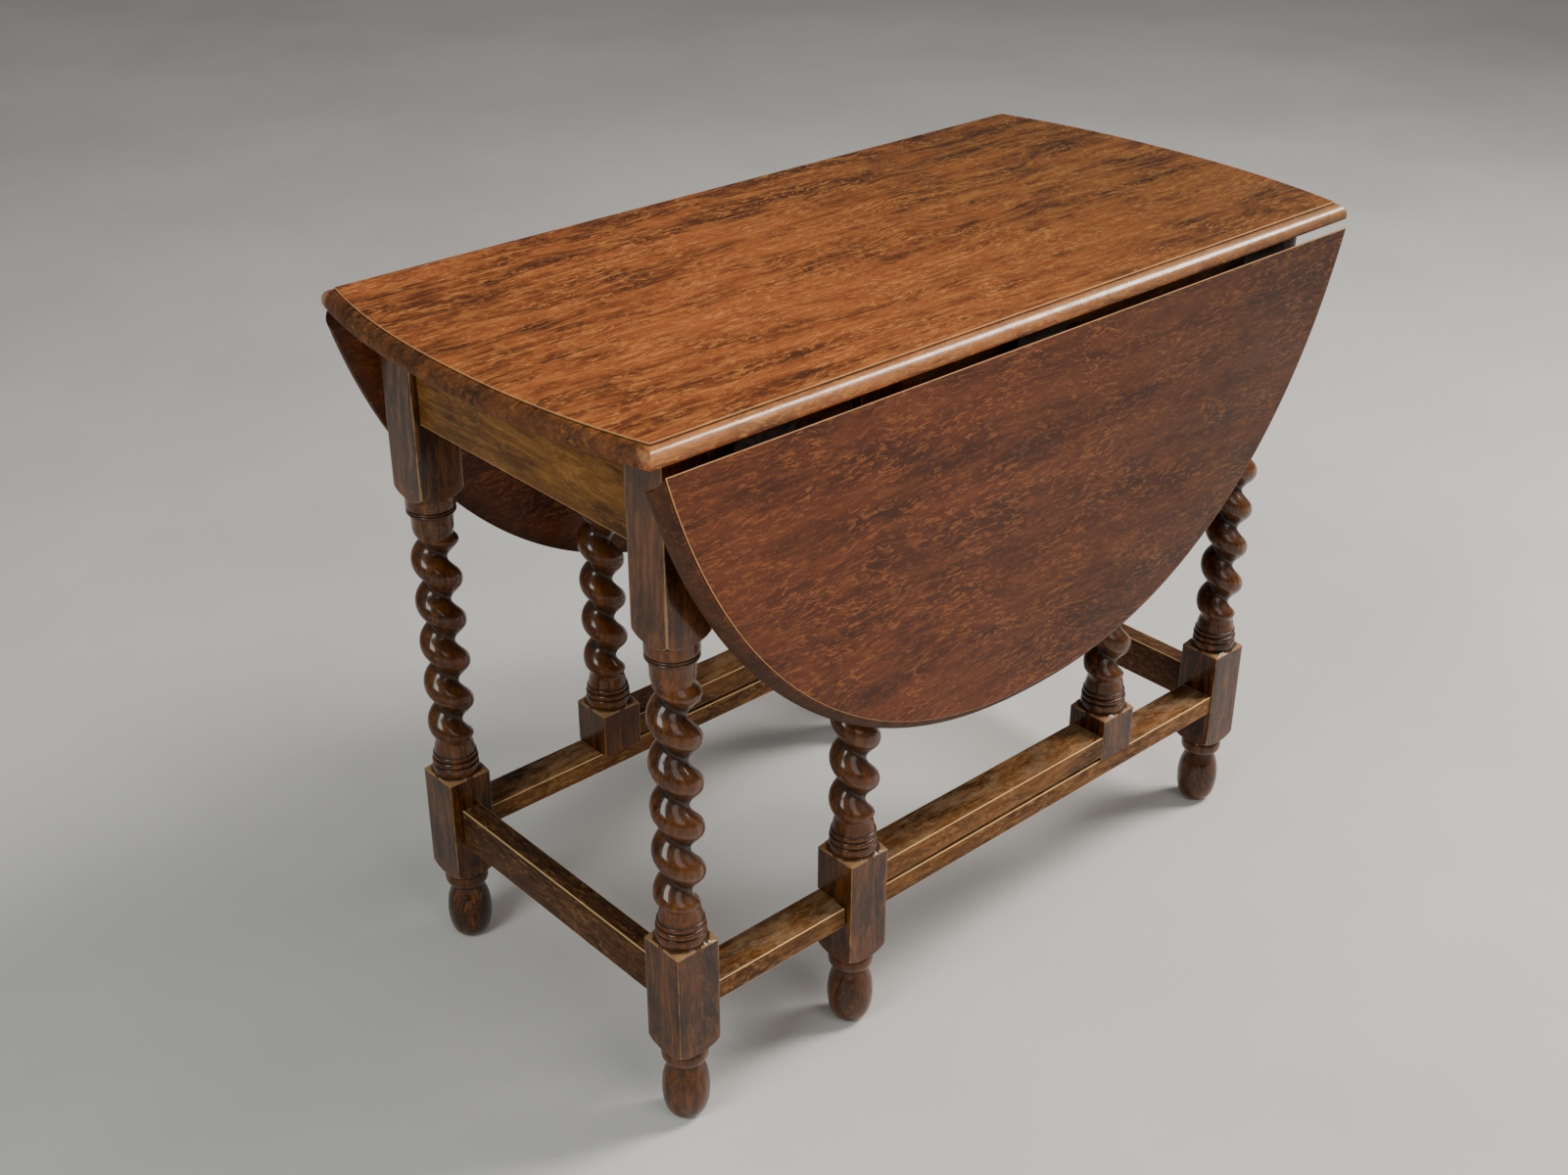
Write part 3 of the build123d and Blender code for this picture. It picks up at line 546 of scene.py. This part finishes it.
# bearing of the crest at the bottom of each twist
crestStarts = {"corner_leg_left_front": 262, "corner_leg_left_back": 326,
               "corner_leg_right_front": 286, "corner_leg_right_back": 300}
gateStarts = {"front": (275, 300), "back": (127, 120)}      # pivot post, swing leg
swingLaps = [(136.5, 160.5), (610.0, 800.0)]                # heights where it crosses stretcher and apron
for node, start in crestStarts.items():
    turnedLeg(node.replace("_", "."), node, middleOf(node), start)
for side in ("front", "back"):
    behind = side == "back"
    postStart, swingStart = gateStarts[side]
    for piece, start, laps in (("pivot_post_", postStart, ()), ("swing_leg_", swingStart, swingLaps)):
        node = piece + side
        turnedLeg(node.replace("_", "."), node, middleOf(node), start, laps, behind)
print("legs and posts made")


# rails, stretchers and aprons
# straight piece between two shoulders with eased arrises; notch is (middle, width, depth, side)
def sawn(name, node, along, trim, material, notch=None, softness=1.2):
    low, high = [list(v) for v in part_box(node)]
    low[along] += trim * mm
    high[along] -= trim * mm
    corners = [(low[0], low[1]), (high[0], low[1]), (high[0], high[1]), (low[0], high[1])]
    if notch:
        middle, wide, deep, side = [v * mm for v in notch[:3]] + [notch[3]]
        edge = low[1] if side < 0 else high[1]
        inner = edge - side * deep
        left, right = middle - wide / 2, middle + wide / 2
        cut = [(left, edge), (left, inner), (right, inner), (right, edge)]
        corners = corners[:1] + cut + corners[1:] if side < 0 else corners[:3] + cut[::-1] + corners[3:]
    bm = bmesh.new()
    bottom = [bm.verts.new((x, y, low[2])) for x, y in corners]
    top = [bm.verts.new((x, y, high[2])) for x, y in corners]
    bm.faces.new(bottom[::-1])
    bm.faces.new(top)
    for k in range(len(corners)):
        n = (k + 1) % len(corners)
        bm.faces.new((bottom[k], bottom[n], top[n], top[k]))
    eased = bmesh.ops.bevel(bm, geom=list(bm.edges), offset=softness * mm, segments=4, profile=0.5,
                            affect="EDGES", clamp_overlap=True)
    rounded = set(eased["faces"])
    wear = bm.verts.layers.float.new("wear")
    for v in bm.verts:
        v[wear] = 1.0 if all(f in rounded for f in v.link_faces) else 0.0
    mesh = toMesh(bm, name)
    return finishPiece(name, mesh, material, bodyOf(node), [node], 35)


tenon = 18.0 - 4.0      # shoulders end 4 inside the legs
swingX = middleOf("swing_leg_front")[0] / mm
for side, s in (("front", -1), ("back", 1)):
    gap = (-s * swingX, 52.0, 17.5, s)
    sawn("side.stretcher." + side, "side_stretcher_" + side, 0, tenon, railOak, gap)
    sawn("side.apron." + side, "side_apron_" + side, 0, tenon, sideApronOak, (gap[0], 52.0, 15.0, s))
    sawn("gate.lower.rail." + side, "gate_lower_rail_" + side, 0, 10.0, railOak)
    sawn("gate.upper.rail." + side, "gate_upper_rail_" + side, 0, 10.0, railOak)
for end in ("left", "right"):
    sawn("end.stretcher." + end, "end_stretcher_" + end, 1, tenon, endRailOak, None, 1.6)
    sawn("end.apron." + end, "end_apron_" + end, 1, tenon, endApronOak)
print("rails made")


# the oval top and its leaves
board = {
    "halfLength": 473.5, "halfSpread": 594.0, "power": 2.2, "height": 735.0, "thick": 18.0,
    "jointHalf": 229.6, "joints": (-74.0, 137.0), "leafJoint": 190.0,
    "hingeY": 227.4, "hingeZ": 714.6, "hingeX": (-330, 0, 330), "bedHalf": 32.5,
    "cove": 18.8, "lipGap": 1.0,
}
# section of every moulded edge: how far out from the arris, and height
section = [(-14, 735), (-4, 735), (-1.1, 735), (-0.35, 734.82), (0, 734.2), (0, 733.0), (0.12, 732.6)]
section += [(11.2 * math.cos(a), 721.4 + 11.2 * math.sin(a)) for a in np.radians(np.linspace(85, 0, 11))]
section += [(11.2, 718.6), (10.8, 717.4), (9.8, 717.0), (-8, 717.0)]


def ovalAt(reach, count=720):
    t = np.linspace(-math.pi, math.pi, count, endpoint=False)
    a, b, p = board["halfLength"], board["halfSpread"], board["power"]
    x = a * np.sign(np.cos(t)) * np.abs(np.cos(t)) ** (2 / p)
    y = b * np.sign(np.sin(t)) * np.abs(np.sin(t)) ** (2 / p)
    nx = np.sign(x) * np.abs(x / a) ** (p - 1) / a
    ny = np.sign(y) * np.abs(y / b) ** (p - 1) / b
    n = np.hypot(nx, ny)
    return x + reach * nx / n, y + reach * ny / n


# edge of the centre top moved out by reach: two oval ends and two straight joint sides
def centreLoop(reach, across=72, along=40):
    x, y = ovalAt(reach)
    right = (x > 0) & (np.abs(y) < 400)
    order = np.argsort(y[right])
    half = board["jointHalf"] + reach
    ys = np.linspace(-half, half, across)
    xs = np.interp(ys, y[right][order], x[right][order])
    side = np.linspace(xs[-1], -xs[-1], along + 2)[1:-1]
    ends = list(zip(xs, ys)), list(zip(-xs[::-1], ys[::-1]))
    return ends[0] + [(v, half) for v in side] + ends[1] + [(-v, -half) for v in side]


def leafLoop(reach):
    x, y = ovalAt(reach, 360)
    return list(zip(x, y))


# closed board: the section carried round an outline
def lofted(loopAt):
    bm = bmesh.new()
    rows = [[bm.verts.new((x * mm, y * mm, z * mm)) for x, y in loopAt(reach)] for reach, z in section]
    for upper, lower in zip(rows, rows[1:]):
        for k in range(len(upper)):
            n = (k + 1) % len(upper)
            bm.faces.new((upper[k], lower[k], lower[n], upper[n]))
    bm.faces.new(rows[0])
    bm.faces.new(rows[-1][::-1])
    return bm


# cut by a plane; with keep, the side that direction points to goes and the cut is closed
def cutBoard(bm, point, direction, keep=True):
    geometry = list(bm.verts) + list(bm.edges) + list(bm.faces)
    bmesh.ops.bisect_plane(bm, geom=geometry, plane_co=point, plane_no=direction, clear_outer=keep)
    if keep:
        bmesh.ops.edgenet_fill(bm, edges=[e for e in bm.edges if e.is_boundary])


# wear, grime and painted shade, and gloss with a painted highlight, by how far each point is from the moulded edge;
# straightSide gives that distance to the joint
def edgeMarks(mesh, straightSide):
    co = np.empty(len(mesh.vertices) * 3)
    mesh.vertices.foreach_get("co", co)
    x, y, z = co.reshape(-1, 3).T / mm
    a, b, p = board["halfLength"], board["halfSpread"], board["power"]
    ratio = (np.abs(x / a) ** p + np.abs(y / b) ** p) ** (1 / p) + 1e-9
    gx = np.abs(x / a) ** (p - 1) / a * ratio ** (1 - p)
    gy = np.abs(y / b) ** (p - 1) / b * ratio ** (1 - p)
    reach = np.maximum((ratio - 1) / np.hypot(gx, gy), straightSide(y))
    wear = np.where((z > 733.9) & (reach > -0.8) & (reach < 0.4), 1.0, 0.0)
    wear = np.maximum(wear, np.where((z > 717.2) & (z < 719.5) & (reach > 10.3), 0.35, 0.0))
    # darker along the crease at the foot of the step
    grime = np.where((z > 732.2) & (z < 733.2) & (reach > -0.5) & (reach < 0.8), 1.0, 0.0)
    paint(mesh, "wear", wear)
    # the upper round of the long sides gets gloss and a painted highlight that pales its colour
    onRound = (z < 732.5) & (z > 718.0) & (reach > 0.3) & (straightSide(y) > 0.3)
    # the mouldings of the ends and the leaves are dull and darkened with painted shade
    onEnd = (z < 732.5) & (reach > 0.3) & (straightSide(y) <= 0.3)
    paint(mesh, "grime", np.maximum(grime, np.where(onEnd, 0.75, 0.0)))
    paint(mesh, "polish", np.where(onRound, np.clip((z - 719) / 6, 0, 1), 0.0))


# take the tool's shape out of a closed mesh
def cutBy(tool, mesh, name):
    carrier = bpy.data.objects.new(name, mesh)
    bpy.context.scene.collection.objects.link(carrier)
    cut = carrier.modifiers.new("cut", "BOOLEAN")
    cut.operation = "DIFFERENCE"
    cut.solver = "EXACT"
    cut.object = tool
    bpy.context.view_layer.update()
    done = bpy.data.meshes.new_from_object(carrier.evaluated_get(bpy.context.evaluated_depsgraph_get()))
    bpy.data.objects.remove(carrier)
    return done


# beds for the hinges under the two outer boards; section out from the pin and up from the underside
beds = bmesh.new()
bedSection = ((-3.5, -3.0), (20.0, -3.0), (20.0, 0.5), (3.5, 0.5), (3.5, 1.0), (-3.5, 1.0))
underside = board["height"] - board["thick"]
for side in (-1, 1):
    for x in board["hingeX"]:
        ends = []
        for endX in (x - board["bedHalf"], x + board["bedHalf"]):
            ends.append([beds.verts.new((endX * mm, side * (board["hingeY"] + y) * mm, (underside + z) * mm))
                         for y, z in bedSection])
        beds.faces.new(ends[0])
        beds.faces.new(ends[1][::-1])
        for k in range(len(bedSection)):
            n = (k + 1) % len(bedSection)
            beds.faces.new((ends[0][k], ends[1][k], ends[1][n], ends[0][n]))
bedTool = bpy.data.objects.new("bed tool", toMesh(beds, "bed tool"))
bpy.context.scene.collection.objects.link(bedTool)

boardTones = {"front": 0.03, "middle": 0.0, "back": -0.05}
edges = (-400.0, *board["joints"], 400.0)
for (side, tone), low, high in zip(boardTones.items(), edges, edges[1:]):
    bm = lofted(centreLoop)
    if side != "front":
        cutBoard(bm, (0, low * mm, 0), (0, -1, 0))
    if side != "back":
        cutBoard(bm, (0, high * mm, 0), (0, 1, 0))
    mesh = toMesh(bm, "top board " + side)
    if side != "middle":
        mesh = cutBy(bedTool, mesh, "top board " + side)
    edgeMarks(mesh, lambda y: np.abs(y) - board["jointHalf"])
    paint(mesh, "tone", np.full(len(mesh.vertices), tone))
    finishPiece("top.board." + side, mesh, topOak, "frame", ["top_board_" + side], 28)
bpy.data.objects.remove(bedTool)
print("top made")

lip = -(board["jointHalf"] + board["lipGap"])
hingeLine = Matrix.Translation((0, -board["hingeY"] * mm, board["hingeZ"] * mm))
hang = hingeLine @ Matrix.Rotation(math.pi / 2, 4, "X") @ hingeLine.inverted()
coveCut = bmesh.new()
bmesh.ops.create_cone(coveCut, cap_ends=True, segments=160, radius1=board["cove"] * mm, radius2=board["cove"] * mm,
                      depth=1.4, matrix=hingeLine @ Matrix.Rotation(math.pi / 2, 4, "Y"))
coveTool = bpy.data.objects.new("cove tool", toMesh(coveCut, "cove tool"))
bpy.context.scene.collection.objects.link(coveTool)


def leafBoard(name, low, high, tone, side):
    bm = lofted(leafLoop)
    cutBoard(bm, (0, high * mm, 0), (0, 1, 0))
    if low is not None:
        cutBoard(bm, (0, low * mm, 0), (0, -1, 0))
        for back in (0.5, 1.6):
            cutBoard(bm, (0, (high - back) * mm, 0), (0, 1, 0), keep=False)
    mesh = toMesh(bm, name)
    if low is not None:
        mesh = cutBy(coveTool, mesh, name)
    edgeMarks(mesh, lambda y: np.where(y > lip - 0.3, -0.2, -50.0))
    paint(mesh, "tone", np.full(len(mesh.vertices), tone))
    mesh.transform(hang if side == "front" else Matrix.Rotation(math.pi, 4, "Z") @ hang)
    node = "leaf_" + ("inner" if low is not None else "outer") + "_board_" + side
    return finishPiece(name, mesh, leafOak, "leaf_" + side, [node], 28)


seam = -board["hingeY"] - board["leafJoint"]
for side in ("front", "back"):
    leafBoard("leaf.inner.board." + side, seam, lip, 0.0, side)
    leafBoard("leaf.outer.board." + side, None, seam, -0.02, side)
bpy.data.objects.remove(coveTool)
print("leaves made")


# pieces that keep their CAD shape
keptFinishes = {"glue_blocks": hiddenOak, "top_screws": screwSteel}
for side in ("front", "back"):
    keptFinishes["leaf_stop_" + side] = hiddenOak
    for name in ("frame_hinge_plates_", "leaf_hinge_plates_", "hinge_pins_", "pivot_pins_"):
        keptFinishes[name + side] = hingeIron
    for name in ("frame_hinge_screws_", "leaf_hinge_screws_", "leaf_stop_screws_"):
        keptFinishes[name + side] = screwSteel
for name, material in keptFinishes.items():
    if nodes[name].material_slots:
        for kept in nodes[name].material_slots:
            kept.material = material
    else:
        nodes[name].data.materials.append(material)
print("hidden parts finished")


# floor and light
studio = {"floor": (0.72, 0.705, 0.70), "floorHalf": 30.0,
          "keyPlace": (2.1, -1.1, 2.7), "keySize": (0.9, 2.2), "keyPower": 135.0,
          "fillPlace": (-2.9, -0.5, 2.3), "fillSize": (1.2, 1.2), "fillPower": 52.0,
          "frontPlace": (-0.4, -3.4, 2.6), "frontSize": (2.0, 2.0), "frontPower": 32.0, "sky": 0.18}
floorMesh = bpy.data.meshes.new("floor")
far = studio["floorHalf"]
floorMesh.from_pydata([(-far, -far, 0), (far, -far, 0), (far, far, 0), (-far, far, 0)], [], [(0, 1, 2, 3)])
floor = bpy.data.objects.new("floor", floorMesh)
bpy.context.scene.collection.objects.link(floor)
floorPaint = bpy.data.materials.new("pale floor")
floorPaint.use_nodes = True
tree = floorPaint.node_tree
mottle = noise(tree, stretch(tree, addNode(tree, "ShaderNodeTexCoord").outputs["Object"], 1.6, 1.6), 4.0)
shader = tree.nodes["Principled BSDF"]
palePaint, dimPaint = (*studio["floor"], 1.0), (*(v * 0.9 for v in studio["floor"]), 1.0)
tree.links.new(mixColour(tree, ease(tree, mottle, 0.3, 0.7), palePaint, dimPaint), shader.inputs["Base Color"])
shader.inputs["Roughness"].default_value = 0.85
floorMesh.materials.append(floorPaint)


def softLight(name, where, size, power, colour):
    data = bpy.data.lights.new(name, "AREA")
    data.shape = "RECTANGLE"
    data.size, data.size_y = size
    data.energy = power
    data.color = colour
    lamp = bpy.data.objects.new(name, data)
    lamp.location = where
    lamp.rotation_euler = (Vector((0, 0, 0.4)) - Vector(where)).to_track_quat("-Z", "Y").to_euler()
    bpy.context.scene.collection.objects.link(lamp)


softLight("key", studio["keyPlace"], studio["keySize"], studio["keyPower"], (1.0, 0.96, 0.88))
softLight("fill", studio["fillPlace"], studio["fillSize"], studio["fillPower"], (0.93, 1.0, 0.93))
softLight("front", studio["frontPlace"], studio["frontSize"], studio["frontPower"], (1.0, 0.97, 0.92))
world = bpy.data.worlds.new("studio")
world.use_nodes = True
world.node_tree.nodes["Background"].inputs[0].default_value = (0.92, 0.91, 0.88, 1.0)
world.node_tree.nodes["Background"].inputs[1].default_value = studio["sky"]
bpy.context.scene.world = world
print("studio lit")
